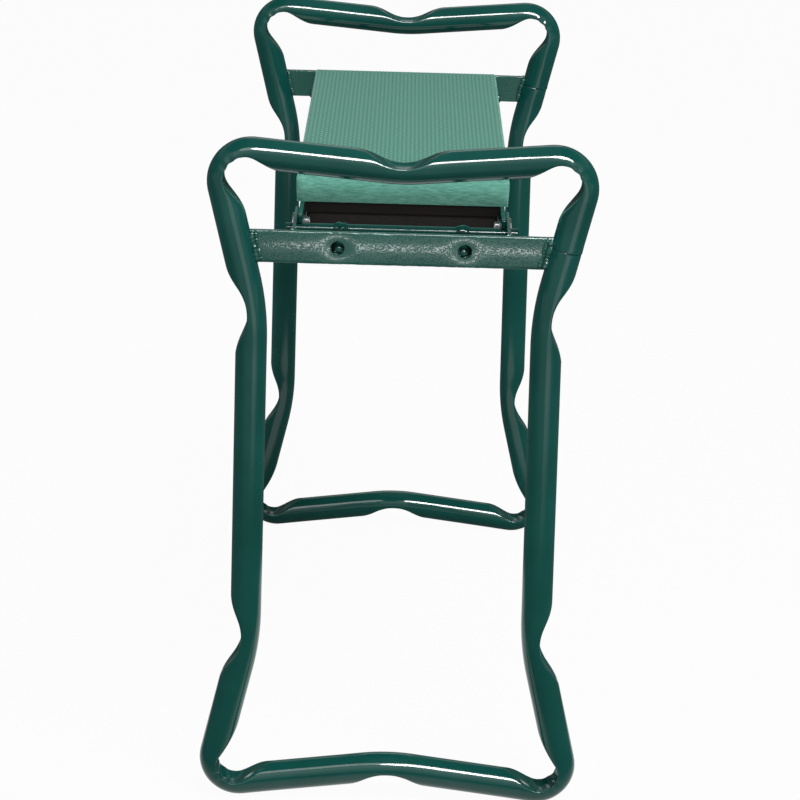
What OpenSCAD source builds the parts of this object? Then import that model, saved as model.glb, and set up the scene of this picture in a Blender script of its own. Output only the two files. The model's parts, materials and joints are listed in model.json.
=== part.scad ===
// Folding garden kneeler seat
// Two crush-bent tube loops carry a padded seat between them and swing in under it.
// +Y runs along the seat, +X to the right, +Z up. The origin is on the floor, under the middle.

/* [Seat] */
// Height of the seat pad's top above the floor
seat_height = 444; // [380:1:540]
// Length of the seat pad
pad_length = 410; // [330:1:500]
// Width of the seat pad
pad_width = 153; // [125:1:190]
// Thickness of the seat pad
pad_thickness = 19; // [14:0.5:26]
// Radius of the pad's rounded upper edge at its two ends
pad_end_radius = 10; // [3:0.5:13]
// Radius of the pad's upper edge along its sides
pad_side_radius = 3; // [1:0.5:6]
// How far the pad stands out past the board at each end
board_inset = 3; // [1:0.5:8]
// Thickness of the board under the pad
board_thickness = 8; // [6:0.5:12]
// Thickness of the kneeling pad under the board
kneeling_thickness = 12; // [8:0.5:12]
// Distance from the board's edges to the kneeling pad's edges
kneeling_margin = 1; // [0.5:0.5:15]
// Radius of the kneeling pad's lower edges
kneeling_radius = 3; // [1:0.5:5]

/* [Side rails] */
// Thickness of the flat bar
rail_thickness = 3; // [2:0.5:4]
// Height of the flat bar
rail_height = 21; // [20:0.5:24]
// Distance from the pad's side to the rail's outer face
rail_inset = 3.2; // [3:0.1:6]
// How far the lip reaches out past the middle of the lock rod
lip_reach = 3; // [1:0.5:4]
// Distance between neighbouring rail screws
screw_pitch = 150; // [100:5:155]
// Diameter of a rail screw
screw_d = 4; // [3:0.5:4.5]
// Length of a rail screw under its head
screw_length = 22; // [14:1:30]

/* [Frame tube] */
// Outer diameter of the tube
tube_d = 22; // [18:0.5:26]
// Wall of the tube
tube_wall = 1.2; // [1:0.1:1.6]
// Height of the handle's top above the seat
handle_rise = 46; // [40:1:70]
// Gap between the seat pad's side and the leg beside it
leg_gap = 15.1; // [14:0.1:30]
// How far the leg moves out between its upper and lower bend
leg_splay = 2; // [0:0.1:10]
// How far the handle stands out past the leg's upper bend
handle_flare = 21; // [16:0.1:24]
// How far the foot stands out past the leg's upper bend
foot_flare = 23.4; // [16:0.1:26]
// Drop of the tube in the middle of the handle
handle_dip = 8.8; // [4:0.1:14]
// Rise of the tube in the middle of the foot
foot_arch = 13.5; // [6:0.1:20]
// Depth of the leg's upper bend below the seat's top
upper_bend_drop = 75; // [74:1:110]
// Height of the leg's lower bend above the floor
lower_bend_z = 122; // [100:1:160]
// Bend radius of the handle's corners, at the middle of the tube
handle_corner_r = 20; // [17:1:34]
// Bend radius of the foot's corners, at the middle of the tube
foot_corner_r = 18; // [16:1:30]
// Bend radius of the four bends in the legs
leg_bend_r = 190; // [120:5:240]
// Bend radius in the middle of the handle and of the foot
middle_bend_r = 150; // [100:5:220]
// Depth to which the inside of each gentle bend is pressed in
crush_depth = 8.8; // [3:0.1:9.5]
// Depth to which the inside of the handle's and the foot's corners is pressed in
corner_crush_depth = 11.2; // [6:0.1:11.6]
// Distance from the middle of a bend to the end of its pressed dent
crush_reach = 39; // [30:1:44]
// Gap at the seam where the two ends of the tube meet
seam_gap = 0.3; // [0.2:0.1:1]
// Wall of the sleeve inside the seam
sleeve_wall = 1.5; // [1:0.1:2.5]
// Length of the sleeve inside the seam
sleeve_length = 20; // [12:1:26]
// How far the seam lies below the middle of its straight stretch
seam_drop = 4.6; // [0:0.1:6]

/* [Crossbar] */
// Height of the flat bar
crossbar_height = 23; // [21:0.5:26]
// Thickness of the flat bar
crossbar_thickness = 4; // [3:0.5:6]
// Radius of its four edges
crossbar_edge_r = 1; // [0.5:0.1:1.4]
// Depth of its middle below the pivots
crossbar_drop = 1; // [0:0.1:1.5]
// Diameter of the open holes in it
pin_window_d = 10; // [9:0.5:12]
// Distance between the two holes
pin_window_pitch = 88; // [60:1:100]

/* [Hinge and lock] */
// Distance from the pad's end to the pivot pins
pivot_gap = 13; // [12:0.5:25]
// Distance from the pivot pins out to the middle of the frame's tube
pivot_offset = 71; // [66:0.5:90]
// Depth of the pivot below the pad's underside
pivot_drop = 10.4; // [10.2:0.1:11]
// Diameter of the pivot pins
pivot_d = 6; // [5:0.5:8]
// Diameter of the pivot pins' heads
pivot_head_d = 11.5; // [10:0.5:14]
// Height of the pivot pins' heads
pivot_head_h = 2.2; // [1.5:0.1:4]
// How far a pivot pin stands out past its clip
pivot_tail = 4; // [2:0.5:5]
// Outer diameter of the clips
clip_d = 9; // [8.5:0.5:12]
// Thickness of the clips
clip_thickness = 0.7; // [0.6:0.1:1]
// Diameter of a pivot pin in its clip's groove
groove_d = 4; // [3:0.5:5]
// Thickness of the hinge plates
plate_thickness = 2.5; // [2:0.1:3]
// Height of the hinge plates
plate_height = 20; // [18:0.5:20.5]
// Diameter of the lock rod
rod_d = 8; // [6:0.5:9]
// Distance from the pivot pins out to the lock rod
rod_offset = 23; // [21:0.5:30]
// How far the lock rod stands out past the hinge plates
rod_overhang = 6.5; // [3:0.5:8]
// How far the lock rod can be pulled towards the crossbar
lock_travel = 7; // [5:0.5:10]
// Distance between the two pins on the lock rod
pin_pitch = 86; // [58:1:100]
// Diameter of the pins
pin_d = 5; // [4:0.5:6]
// Depth of a pin's middle below the middle of its hole
pin_drop = 1.6; // [0:0.1:1.8]
// Depth of a pin's end behind the crossbar's outer face
pin_recess = 1.5; // [0.5:0.5:3]
// Wire diameter of the lock springs
spring_wire_d = 1.2; // [1:0.1:1.4]
// Radial gap between a pin and the spring round it
spring_gap = 0.9; // [0.5:0.1:1.5]
// Turns of a lock spring, with its two closed end turns
spring_turns = 10; // [6:1:12]

/* [Clearances] */
// Gap between flat or round faces that move past each other
slip = 0.3; // [0.2:0.05:0.4]
// Radial gap between a pivot pin and its hinge plate
pivot_fit = 0.08; // [0.04:0.01:0.1]
// Radial gap round a pin, clip or screw that doesn't turn
thread_fit = 0.05; // [0.02:0.01:0.1]
// Gap left between welded pieces
weld_gap = 0.05; // [0.02:0.01:0.1]
// Gap between the sleeve and the inside of the tube
sleeve_fit = 0.1; // [0.05:0.05:0.3]

/* [Hidden] */
$fn = 48;

foam_green = "#5f9c88";
foam_black = "#2b2927";
board_black = "#1c1a19";
paint_green = "#17463e";
zinc = "#c9ccce";
spring_black = "#2c4a42";

left = -1;
right = 1;

// Seat levels and rails
pad_z = seat_height - pad_thickness;
board_z = pad_z - board_thickness;
kneeling_z = board_z - kneeling_thickness;
rail_x1 = pad_width / 2 - rail_inset;
rail_x0 = rail_x1 - rail_thickness;
board_end = pad_length / 2 - board_inset;
screw_head_d = 2 * screw_d;
screw_head_h = 0.55 * screw_d;
screw_z = pad_z - screw_head_d / 2 - slip;

// Pivot, lock rod and hinge plates of the front frame, which stands at negative Y
pivot_y = -(pad_length / 2 + pivot_gap);
pivot_z = pad_z - pivot_drop;
frame_y = pivot_y - pivot_offset;
rod_y = pivot_y - rod_offset;
crossbar_y0 = frame_y - crossbar_thickness / 2;
crossbar_y1 = frame_y + crossbar_thickness / 2;
crossbar_z = pivot_z - crossbar_drop;
pin_x = pin_pitch / 2;
pin_z = crossbar_z - pin_drop;
plate_x0 = rail_x1 + slip;
plate_x1 = plate_x0 + plate_thickness;
nose_r = rod_offset - rod_d / 2 - slip;
lip_height = pivot_drop - rod_d / 2 - slip;
rod_half = plate_x1 + rod_overhang;
pin_end_y = crossbar_y0 + pin_recess;
spring_y0 = crossbar_y1 + weld_gap;
spring_y1 = rod_y - rod_d / 2 - weld_gap;

// Middle line of the right half of a loop, as [x, z]
tube_r = tube_d / 2;
leg_x = pad_width / 2 + leg_gap + tube_r;
handle_top_z = seat_height + handle_rise - tube_r;
handle_middle = [0, handle_top_z - handle_dip];
foot_middle = [0, tube_r + foot_arch];
upper_bend = [leg_x, seat_height - upper_bend_drop];
lower_bend = [leg_x + leg_splay, lower_bend_z];
handle_centre = [leg_x + handle_flare - handle_corner_r, handle_top_z - handle_corner_r];
foot_centre = [leg_x + foot_flare - foot_corner_r, tube_r + foot_corner_r];
handle_corner = corner_outside(upper_bend, handle_middle, handle_centre, handle_corner_r);
foot_corner = corner_outside(foot_middle, lower_bend, foot_centre, foot_corner_r);

// The sloping stretch of leg that the crossbar is welded to
slope = handle_corner - upper_bend;
slope_angle = atan2(slope.x, slope.y);
bar_end_x = leg_x + slope.x * (pivot_z - upper_bend.y) / slope.y;

// Facets round the tube outside and inside, and rings along each bend
outer_sides = 18;
inner_sides = 9;
bend_rings = [-1, -0.8, -0.61, -0.42, -0.22, 0, 0.22, 0.42, 0.61, 0.8, 1];

// Depth and fullness of the dent in a gentle bend and in a corner, where it stays deep for longer
gentle_dent = [crush_depth, 2];
corner_dent = [corner_crush_depth, 3];

// Depth of a dent at u, which is 0 in its middle and 1 at its end
function dent_depth(dent, u) = dent[0] * (exp(-3 * pow(abs(u), dent[1])) - exp(-3)) / (1 - exp(-3));

// Mirror image in X of a point of the loop
function mirrored(p) = [-p.x, p.y];

// Angle brought between -180 and 180 degrees
function wrapped(a) = a - 360 * round(a / 360);

// Point where two lines meet, each given by a point and a heading
function lines_meet(p, hp, q, hq) =
  let (d = q - p)
  p + (d.x * sin(hq) - d.y * cos(hq)) / sin(hq - hp) * [cos(hp), sin(hp)];

// Corner whose lines from p and to q pass outside the circle about c
function corner_outside(p, q, c, r) =
  let (to_c = c - p, from_q = c - q)
  lines_meet(
    p, atan2(to_c.y, to_c.x) - asin(r / norm(to_c)),
    q, atan2(from_q.y, from_q.x) + asin(r / norm(from_q))
  );

// A bend at v: its corner point, heading in, turn to the left, radius and dent
function bend_at(before, v, after, r, dent) =
  let (h_in = atan2(v.y - before.y, v.x - before.x), h_out = atan2(after.y - v.y, after.x - v.x))
  [v, h_in, wrapped(h_out - h_in), r, dent];

// Point and heading at distance t along the tube from the middle of a bend
function along_bend(b, t) =
  let (
    v = b[0],
    turn = b[2],
    r = b[3],
    side = sign(turn),
    half = r * abs(turn) * PI / 360,
    on_arc = max(-half, min(half, t)),
    h_mid = b[1] + turn / 2,
    h = h_mid + side * on_arc / r * 180 / PI,
    middle = v + side * (r / cos(turn / 2) - r) * [-sin(h_mid), cos(h_mid)],
    p = middle + side * r * [sin(h) - sin(h_mid), cos(h_mid) - cos(h)] + (t - on_arc) * [cos(h), sin(h)]
  )
  [p.x, p.y, h];

// The loop's corners, anticlockwise from the seam on the right leg
loop_corners = [
  [handle_corner, handle_corner_r, corner_dent],
  [handle_middle, middle_bend_r, gentle_dent],
  [mirrored(handle_corner), handle_corner_r, corner_dent],
  [mirrored(upper_bend), leg_bend_r, gentle_dent],
  [mirrored(lower_bend), leg_bend_r, gentle_dent],
  [mirrored(foot_corner), foot_corner_r, corner_dent],
  [foot_middle, middle_bend_r, gentle_dent],
  [foot_corner, foot_corner_r, corner_dent],
  [lower_bend, leg_bend_r, gentle_dent],
  [upper_bend, leg_bend_r, gentle_dent]
];
corner_count = len(loop_corners);
loop_bends = [
  for (i = [0 : corner_count - 1])
    bend_at(
      loop_corners[(i + corner_count - 1) % corner_count][0],
      loop_corners[i][0],
      loop_corners[(i + 1) % corner_count][0],
      loop_corners[i][1],
      loop_corners[i][2]
    )
];

// The seam, in the straight stretch between the dents above and below it
over_seam = along_bend(loop_bends[0], -crush_reach);
under_seam = along_bend(loop_bends[corner_count - 1], crush_reach);
uphill = [sin(slope_angle), cos(slope_angle), 0];
seam = (over_seam + under_seam) / 2 - seam_drop * uphill;
seam_step = seam_gap / 2 * uphill;
straight_at_seam = norm(over_seam - under_seam) - 2 * seam_drop;

// Rings of the swept tube: x, z, heading, depth of the dent and the side that it is on
loop_rings = [
  [seam.x + seam_step.x, seam.y + seam_step.y, seam[2], 0, 1],
  for (b = loop_bends, u = bend_rings)
    let (p = along_bend(b, u * crush_reach))
    [p.x, p.y, p[2], dent_depth(b[4], u), sign(b[2])],
  [seam.x - seam_step.x, seam.y - seam_step.y, seam[2], 0, 1]
];

// Points of one ring of radius r, with the inside of the bend pressed flat at dent_floor
function ring_points(ring, r, sides, dent_floor) = [
  for (k = [0 : sides - 1])
    let (
      a = 360 * k / sides,
      inward = min(ring[4] * r * cos(a), dent_floor),
      u = ring[4] * inward
    )
    [ring[0] - u * sin(ring[2]), frame_y + r * sin(a), ring[1] + u * cos(ring[2])]
];

// Two triangles between each side of neighbouring rings
function skin(first, rings, sides, outwards) = [
  for (i = [0 : rings - 2], k = [0 : sides - 1])
    let (
      a = first + i * sides + k,
      b = first + i * sides + (k + 1) % sides,
      c = a + sides,
      d = b + sides
    )
    each outwards ? [[a, c, b], [b, c, d]] : [[a, b, c], [b, d, c]]
];

// Flat ring that closes the wall at one end, with two outer sides to each inner one
function end_wall(outer, inner, at_start) = [
  for (k = [0 : inner_sides - 1])
    let (
      o0 = outer + 2 * k,
      o1 = o0 + 1,
      o2 = outer + (2 * k + 2) % outer_sides,
      i0 = inner + k,
      i1 = inner + (k + 1) % inner_sides,
      faces = [[i0, o0, o1], [i0, o1, i1], [i1, o1, o2]]
    )
    for (f = faces) at_start ? f : [f[2], f[1], f[0]]
];

// Wire of a lock spring: wide where it sits round the crossbar's hole, and close round the pin at the rod
spring_wide_d = pin_window_d + 2 * spring_gap;
spring_close_d = pin_d + 2 * spring_gap + spring_wire_d;
closed_pitch = spring_wire_d + 0.5;
spring_span = spring_y1 - spring_y0 - spring_wire_d;
open_pitch = (spring_span - 2 * closed_pitch) / (spring_turns - 2);
curl_rings = 8;
wire_sides = 6;
function spring_y(turn) =
  spring_y0 + spring_wire_d / 2
  + closed_pitch * min(turn, 1)
  + open_pitch * max(0, min(turn - 1, spring_turns - 2))
  + closed_pitch * max(0, turn - spring_turns + 1);
spring_path = [
  for (i = [0 : curl_rings * spring_turns])
    let (
      a = 360 * i / curl_rings,
      turn = max(0, min(1, (i / curl_rings - 1) / (spring_turns - 2))),
      r = (spring_wide_d + (spring_close_d - spring_wide_d) * turn) / 2
    )
    [r * cos(a), spring_y(i / curl_rings), r * sin(a)]
];
spring_least_gap = min([
  for (i = [0 : len(spring_path) - 1], j = [i + curl_rings / 2 : 1 : len(spring_path) - 1])
    norm(spring_path[j] - spring_path[i])
]) - spring_wire_d;
echo("least gap between the turns of a lock spring", spring_least_gap);

// Mirror image of a front piece, for the rear end
module at_rear() {
  mirror([0, 1, 0]) children();
}

// Cylinder of radius r from x0 to x1, at a height and depth
module bar_x(r, x0, x1, y, z) {
  translate([x0, y, z]) rotate([0, 90, 0]) cylinder(r = r, h = x1 - x0);
}

// Cylinder of radius r from y0 to y1
module bar_y(r, y0, y1, x, z) {
  translate([x, y0, z]) rotate([-90, 0, 0]) cylinder(r = r, h = y1 - y0);
}

// Flat-topped dome of diameter d and height h, standing out along +X
module low_head_x(d, h) {
  rotate([0, 90, 0])
    intersection() {
      cylinder(d = d, h = h);
      translate([0, 0, h - d]) sphere(d, $fn = 96);
    }
}

// Rectangle with round corners, centred
module round_rectangle(size, r) {
  square([size.x - 2 * r, size.y], center = true);
  square([size.x, size.y - 2 * r], center = true);
  for (x = [-1, 1], y = [-1, 1]) translate([x * (size.x / 2 - r), y * (size.y / 2 - r)]) circle(r);
}

// Slab outline of width w and height h, with its two upper corners rounded
module rounded_top(w, h, r) {
  translate([-w / 2, 0]) square([w, h - r]);
  translate([-w / 2 + r, 0]) square([w - 2 * r, h]);
  for (x = [-1, 1]) translate([x * (w / 2 - r), h - r]) circle(r);
}

// Foam slab with its upper edges rounded, r_end across its ends and r_side along its sides
module foam_slab(width, length, height, r_end, r_side) {
  intersection() {
    rotate([90, 0, 0]) linear_extrude(length, center = true) rounded_top(width, height, r_side);
    rotate([90, 0, 90]) linear_extrude(width, center = true) rounded_top(length, height, r_end);
  }
}

// Bar along the sloping stretch of a leg, centred at the crossbar's height
module on_slope(side, length, r) {
  translate([side * bar_end_x, frame_y, pivot_z])
    rotate([0, side * slope_angle, 0])
      cylinder(r = r, h = length, center = true);
}

// Bar inside the tube, centred at its seam
module at_seam(length, r) {
  translate([seam.x, frame_y, seam.y])
    rotate([0, slope_angle, 0])
      cylinder(r = r, h = length, center = true);
}

// Places of the rail screws along the seat
module each_screw() {
  for (side = [left, right], i = [-1 : 1])
    translate([0, i * screw_pitch, screw_z]) on_side(side) children();
}

// The four pivots, with +X pointing out of the seat
module each_pivot() {
  for (side = [left, right], end = [-1, 1])
    translate([0, end * pivot_y, pivot_z]) on_side(side) children();
}

// Left or right hand of a piece that is drawn for the right
module on_side(side) {
  mirror([side == left ? 1 : 0, 0, 0]) children();
}

// Green foam pad that is sat on
module seat_pad() {
  color(foam_green)
    translate([0, 0, pad_z])
      foam_slab(pad_width, pad_length, pad_thickness, pad_end_radius, pad_side_radius);
}

// Board between the rails, with pilot holes for the rail screws
module seat_board() {
  color(board_black)
    difference() {
      translate([-rail_x0, -board_end, board_z]) cube([2 * rail_x0, 2 * board_end, board_thickness]);
      each_screw() bar_x(screw_d / 2 + thread_fit, rail_x1 - screw_length - 1, rail_x1, 0, 0);
    }
}

// Black foam under the board, which is knelt on when the seat stands upside down
module kneeling_pad() {
  color(foam_black)
    translate([0, 0, board_z])
      mirror([0, 0, 1])
        foam_slab(
          2 * (rail_x0 - kneeling_margin), 2 * board_end, kneeling_thickness, kneeling_radius, kneeling_radius
        );
}

// Outline of a rail in Y and Z about the front pivot: round nose and lip over the lock rod
module rail_end_outline() {
  intersection() {
    circle(nose_r, $fn = 96);
    translate([-nose_r, pivot_drop - rail_height]) square([2 * nose_r, rail_height]);
  }
  translate([-rod_offset - lip_reach, pivot_drop - lip_height]) square([rod_offset + lip_reach, lip_height]);
}

// Flat bar rail for the right side, pierced for the pivot pins and the screws
module side_rail() {
  difference() {
    translate([rail_x0, 0, 0])
      rotate([90, 0, 90])
        linear_extrude(rail_thickness) {
          translate([pivot_y, pad_z - rail_height]) square([-2 * pivot_y, rail_height]);
          translate([pivot_y, pivot_z]) rail_end_outline();
          translate([-pivot_y, pivot_z]) mirror([1, 0]) rail_end_outline();
        }
    for (end = [-1, 1]) bar_x(pivot_d / 2 + thread_fit, rail_x0 - 1, rail_x1 + 1, end * pivot_y, pivot_z);
    for (i = [-1 : 1]) bar_x(screw_d / 2 + thread_fit, rail_x0 - 1, rail_x1 + 1, i * screw_pitch, screw_z);
  }
}

module left_side_rail() {
  color(paint_green) on_side(left) side_rail();
}

module right_side_rail() {
  color(paint_green) side_rail();
}

// Pan-head screws through the rails into the board's edges
module rail_screws() {
  color(zinc)
    each_screw() {
      bar_x(screw_d / 2, rail_x1 - screw_length, rail_x1, 0, 0);
      translate([rail_x1, 0, 0]) low_head_x(screw_head_d, screw_head_h);
    }
}

// Pins that the two frames swing on, with their heads outside and a groove for a clip inside
module pivot_pins() {
  groove = clip_thickness + 2 * thread_fit;
  chamfer = pivot_d / 12;
  color(zinc)
    each_pivot() {
      translate([plate_x1 + slip, 0, 0]) low_head_x(pivot_head_d, pivot_head_h);
      bar_x(pivot_d / 2, rail_x0, plate_x1 + slip, 0, 0);
      bar_x(groove_d / 2, rail_x0 - groove, rail_x0, 0, 0);
      translate([rail_x0 - groove, 0, 0])
        rotate([0, -90, 0])
          rotate_extrude()
            polygon([
              [0, 0], [pivot_d / 2, 0], [pivot_d / 2, pivot_tail - chamfer],
              [pivot_d / 2 - chamfer, pivot_tail], [0, pivot_tail]
            ]);
    }
}

// Open clips in the pins' grooves, against the inside of the rails
module pivot_clips() {
  bore = groove_d / 2 + thread_fit;
  color(zinc)
    each_pivot()
      translate([rail_x0 - thread_fit, 0, 0])
        rotate([0, -90, 0])
          linear_extrude(clip_thickness)
            difference() {
              circle(d = clip_d);
              circle(bore);
              translate([-clip_d, -0.8 * bore]) square([clip_d, 1.6 * bore]);
            }
}

// One closed loop of tube: handle, legs and foot, pressed in on the inside of every bend
module frame_tube() {
  inner_r = tube_r - tube_wall;
  count = len(loop_rings);
  outer = [for (g = loop_rings) each ring_points(g, tube_r, outer_sides, tube_r - g[3])];
  inner = [for (g = loop_rings) each ring_points(g, inner_r, inner_sides, inner_r - g[3])];
  first_inner = len(outer);
  color(paint_green)
    polyhedron(
      concat(outer, inner),
      concat(
        skin(0, count, outer_sides, true),
        skin(first_inner, count, inner_sides, false),
        end_wall(0, first_inner, true),
        end_wall((count - 1) * outer_sides, first_inner + (count - 1) * inner_sides, false)
      )
    );
}

// Sleeve inside the tube that bridges the seam
module tube_sleeve() {
  sleeve_r = (tube_r - tube_wall) * cos(180 / inner_sides) - sleeve_fit;
  length = min(sleeve_length, straight_at_seam - 1);
  color(zinc)
    difference() {
      at_seam(length, sleeve_r);
      at_seam(length + 2, sleeve_r - sleeve_wall);
    }
}

// Flat bar from leg to leg, cut to the legs' round sides and pierced for the lock pins
module crossbar() {
  reach = 2 * (bar_end_x + slope.x);
  color(paint_green)
    difference() {
      translate([0, frame_y, crossbar_z])
        rotate([90, 0, 90])
          linear_extrude(reach, center = true)
            round_rectangle([crossbar_thickness, crossbar_height], crossbar_edge_r);
      for (side = [left, right]) {
        on_slope(side, 4 * crossbar_height, tube_r + weld_gap);
        translate([side * bar_end_x, frame_y, pivot_z])
          rotate([0, side * slope_angle, 0])
            translate([side * reach / 2, 0, 0])
              cube([reach, 3 * crossbar_thickness, 4 * crossbar_height], center = true);
        bar_y(pin_window_d / 2, crossbar_y0 - 1, crossbar_y1 + 1, side * pin_window_pitch / 2, crossbar_z);
      }
    }
}

// Plate from the crossbar in to the pivot pin, with a slot for the lock rod
module hinge_plate() {
  slot_r = rod_d / 2 + slip;
  color(paint_green)
    difference() {
      translate([plate_x0, pivot_y, pivot_z])
        rotate([90, 0, 90])
          linear_extrude(plate_thickness)
            difference() {
              union() {
                circle(d = plate_height);
                translate([crossbar_y1 - pivot_y, -plate_height / 2])
                  square([pivot_y - crossbar_y1, plate_height]);
              }
              for (pull = [0, lock_travel]) translate([-rod_offset - pull, 0]) circle(slot_r);
              translate([-rod_offset - lock_travel, -slot_r]) square([lock_travel, 2 * slot_r]);
            }
      bar_x(pivot_d / 2 + pivot_fit, plate_x0 - 1, plate_x1 + 1, pivot_y, pivot_z);
    }
}

// Cross rod that the fingers pull, held under the lips of the rails
module lock_rod() {
  chamfer = rod_d / 8;
  color(paint_green)
    translate([0, rod_y, pivot_z])
      rotate([0, 90, 0])
        rotate_extrude()
          polygon([
            [0, -rod_half], [rod_d / 2 - chamfer, -rod_half], [rod_d / 2, -rod_half + chamfer],
            [rod_d / 2, rod_half - chamfer], [rod_d / 2 - chamfer, rod_half], [0, rod_half]
          ]);
}

// Pin from the lock rod out through the crossbar, with a domed end, set low on the rod
module lock_pin() {
  color(paint_green)
    difference() {
      intersection() {
        bar_y(pin_d / 2, pin_end_y, rod_y, pin_x, pin_z);
        translate([pin_x, pin_end_y + pin_d, pin_z]) pin_envelope();
      }
      bar_x(rod_d / 2 + weld_gap, 0, pin_pitch, rod_y, pivot_z);
    }
}

// Round-nosed envelope of a pin, from its dome inwards
module pin_envelope() {
  sphere(pin_d, $fn = 96);
  bar_y(pin_d, 0, rod_y - pin_end_y, 0, 0);
}

// One spring round the right pin
module lock_spring() {
  wire_r = spring_wire_d / 2;
  rings = len(spring_path);
  points = [
    for (i = [0 : rings - 1], k = [0 : wire_sides - 1])
      let (p = spring_path[i], a = 360 * i / curl_rings, w = 360 * k / wire_sides)
      [p.x + wire_r * cos(w) * cos(a), p.y + wire_r * sin(w), p.z + wire_r * cos(w) * sin(a)]
  ];
  last = (rings - 1) * wire_sides;
  translate([pin_x, 0, pin_z])
    polyhedron(
      points,
      concat(
        skin(0, rings, wire_sides, true),
        [for (k = [1 : wire_sides - 2]) [0, k, k + 1]],
        [for (k = [1 : wire_sides - 2]) [last, last + k + 1, last + k]]
      )
    );
}

// The two springs that press the lock rod in under the rails' lips
module lock_springs() {
  color(spring_black) {
    lock_spring();
    translate([-pin_pitch, 0, 0]) lock_spring();
  }
}

module front_frame_tube() {
  frame_tube();
}

module front_tube_sleeve() {
  tube_sleeve();
}

module front_crossbar() {
  crossbar();
}

module front_left_hinge_plate() {
  on_side(left) hinge_plate();
}

module front_right_hinge_plate() {
  hinge_plate();
}

module front_lock_rod() {
  lock_rod();
}

module front_left_lock_pin() {
  on_side(left) lock_pin();
}

module front_right_lock_pin() {
  lock_pin();
}

module front_lock_springs() {
  lock_springs();
}

module rear_frame_tube() {
  at_rear() frame_tube();
}

module rear_tube_sleeve() {
  at_rear() tube_sleeve();
}

module rear_crossbar() {
  at_rear() crossbar();
}

module rear_left_hinge_plate() {
  at_rear() on_side(left) hinge_plate();
}

module rear_right_hinge_plate() {
  at_rear() hinge_plate();
}

module rear_lock_rod() {
  at_rear() lock_rod();
}

module rear_left_lock_pin() {
  at_rear() on_side(left) lock_pin();
}

module rear_right_lock_pin() {
  at_rear() lock_pin();
}

module rear_lock_springs() {
  at_rear() lock_springs();
}

seat_pad();
seat_board();
kneeling_pad();
left_side_rail();
right_side_rail();
rail_screws();
pivot_pins();
pivot_clips();
front_frame_tube();
front_tube_sleeve();
front_crossbar();
front_left_hinge_plate();
front_right_hinge_plate();
front_lock_rod();
front_left_lock_pin();
front_right_lock_pin();
front_lock_springs();
rear_frame_tube();
rear_tube_sleeve();
rear_crossbar();
rear_left_hinge_plate();
rear_right_hinge_plate();
rear_lock_rod();
rear_left_lock_pin();
rear_right_lock_pin();
rear_lock_springs();
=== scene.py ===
"""Folding garden kneeler seat: green foam seat between two crush-bent tube frames.

Pieces are drawn in millimetres in the frame's axes and become metres when their mesh is made.
"""

import json
import math
import random

import bmesh
import bpy
import numpy as np
from mathutils import Matrix, Vector


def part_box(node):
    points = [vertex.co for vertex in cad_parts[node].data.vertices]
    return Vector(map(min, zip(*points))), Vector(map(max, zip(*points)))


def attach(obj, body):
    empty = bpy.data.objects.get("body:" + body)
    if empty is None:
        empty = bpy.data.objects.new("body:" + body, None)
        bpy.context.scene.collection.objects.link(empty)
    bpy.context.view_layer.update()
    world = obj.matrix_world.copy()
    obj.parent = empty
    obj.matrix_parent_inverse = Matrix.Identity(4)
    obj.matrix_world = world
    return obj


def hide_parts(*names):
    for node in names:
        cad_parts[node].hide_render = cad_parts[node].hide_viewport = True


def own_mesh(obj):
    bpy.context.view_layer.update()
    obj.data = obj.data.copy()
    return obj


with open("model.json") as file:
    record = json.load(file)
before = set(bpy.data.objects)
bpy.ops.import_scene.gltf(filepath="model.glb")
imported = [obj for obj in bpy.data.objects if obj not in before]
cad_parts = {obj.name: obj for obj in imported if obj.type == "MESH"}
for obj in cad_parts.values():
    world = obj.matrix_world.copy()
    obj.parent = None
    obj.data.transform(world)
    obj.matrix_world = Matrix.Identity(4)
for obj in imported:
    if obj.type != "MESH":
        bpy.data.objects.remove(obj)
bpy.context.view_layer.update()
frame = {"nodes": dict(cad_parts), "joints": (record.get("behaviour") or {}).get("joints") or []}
MM = 0.001


def box_mm(node):
    """Lowest and highest corner of a CAD node, in millimetres."""
    return [np.array(corner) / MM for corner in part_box(node)]


# The camera stands where the photograph was taken from, and leans by the photograph's roll
CAMERA_AT = (-0.0010, -2.2032, 0.9074)
CAMERA_YAW, CAMERA_PITCH, CAMERA_ROLL = (math.radians(a) for a in (0.091, 17.478, 1.605))
FOCAL_PIXELS, IMAGE_PIXELS, SENSOR = 2860.4, 800, 36.0


def place_camera():
    forward = Vector((
        math.sin(CAMERA_YAW) * math.cos(CAMERA_PITCH),
        math.cos(CAMERA_YAW) * math.cos(CAMERA_PITCH),
        -math.sin(CAMERA_PITCH),
    ))
    level = Vector((math.cos(CAMERA_YAW), -math.sin(CAMERA_YAW), 0))
    upright = level.cross(forward)
    right = math.cos(CAMERA_ROLL) * level + math.sin(CAMERA_ROLL) * upright
    up = right.cross(forward)
    data = bpy.data.cameras.new("camera")
    data.sensor_width = SENSOR
    data.lens = FOCAL_PIXELS / IMAGE_PIXELS * SENSOR
    camera = bpy.data.objects.new("camera", data)
    turn = Matrix((right, up, -forward)).transposed().to_4x4()
    camera.matrix_world = Matrix.Translation(CAMERA_AT) @ turn
    bpy.context.scene.collection.objects.link(camera)
    bpy.context.scene.camera = camera


place_camera()


# Materials

# Spacing of the ribs across a pad's broad face, and of the pips along them
RIB_PITCH, PIP_PITCH = 3.15, 7.5


def colour(text):
    """Linear colour of an sRGB hex value."""
    parts = [int(text[i:i + 2], 16) / 255 for i in (1, 3, 5)]
    return [c / 12.92 if c <= 0.04045 else ((c + 0.055) / 1.055) ** 2.4 for c in parts] + [1.0]


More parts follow.
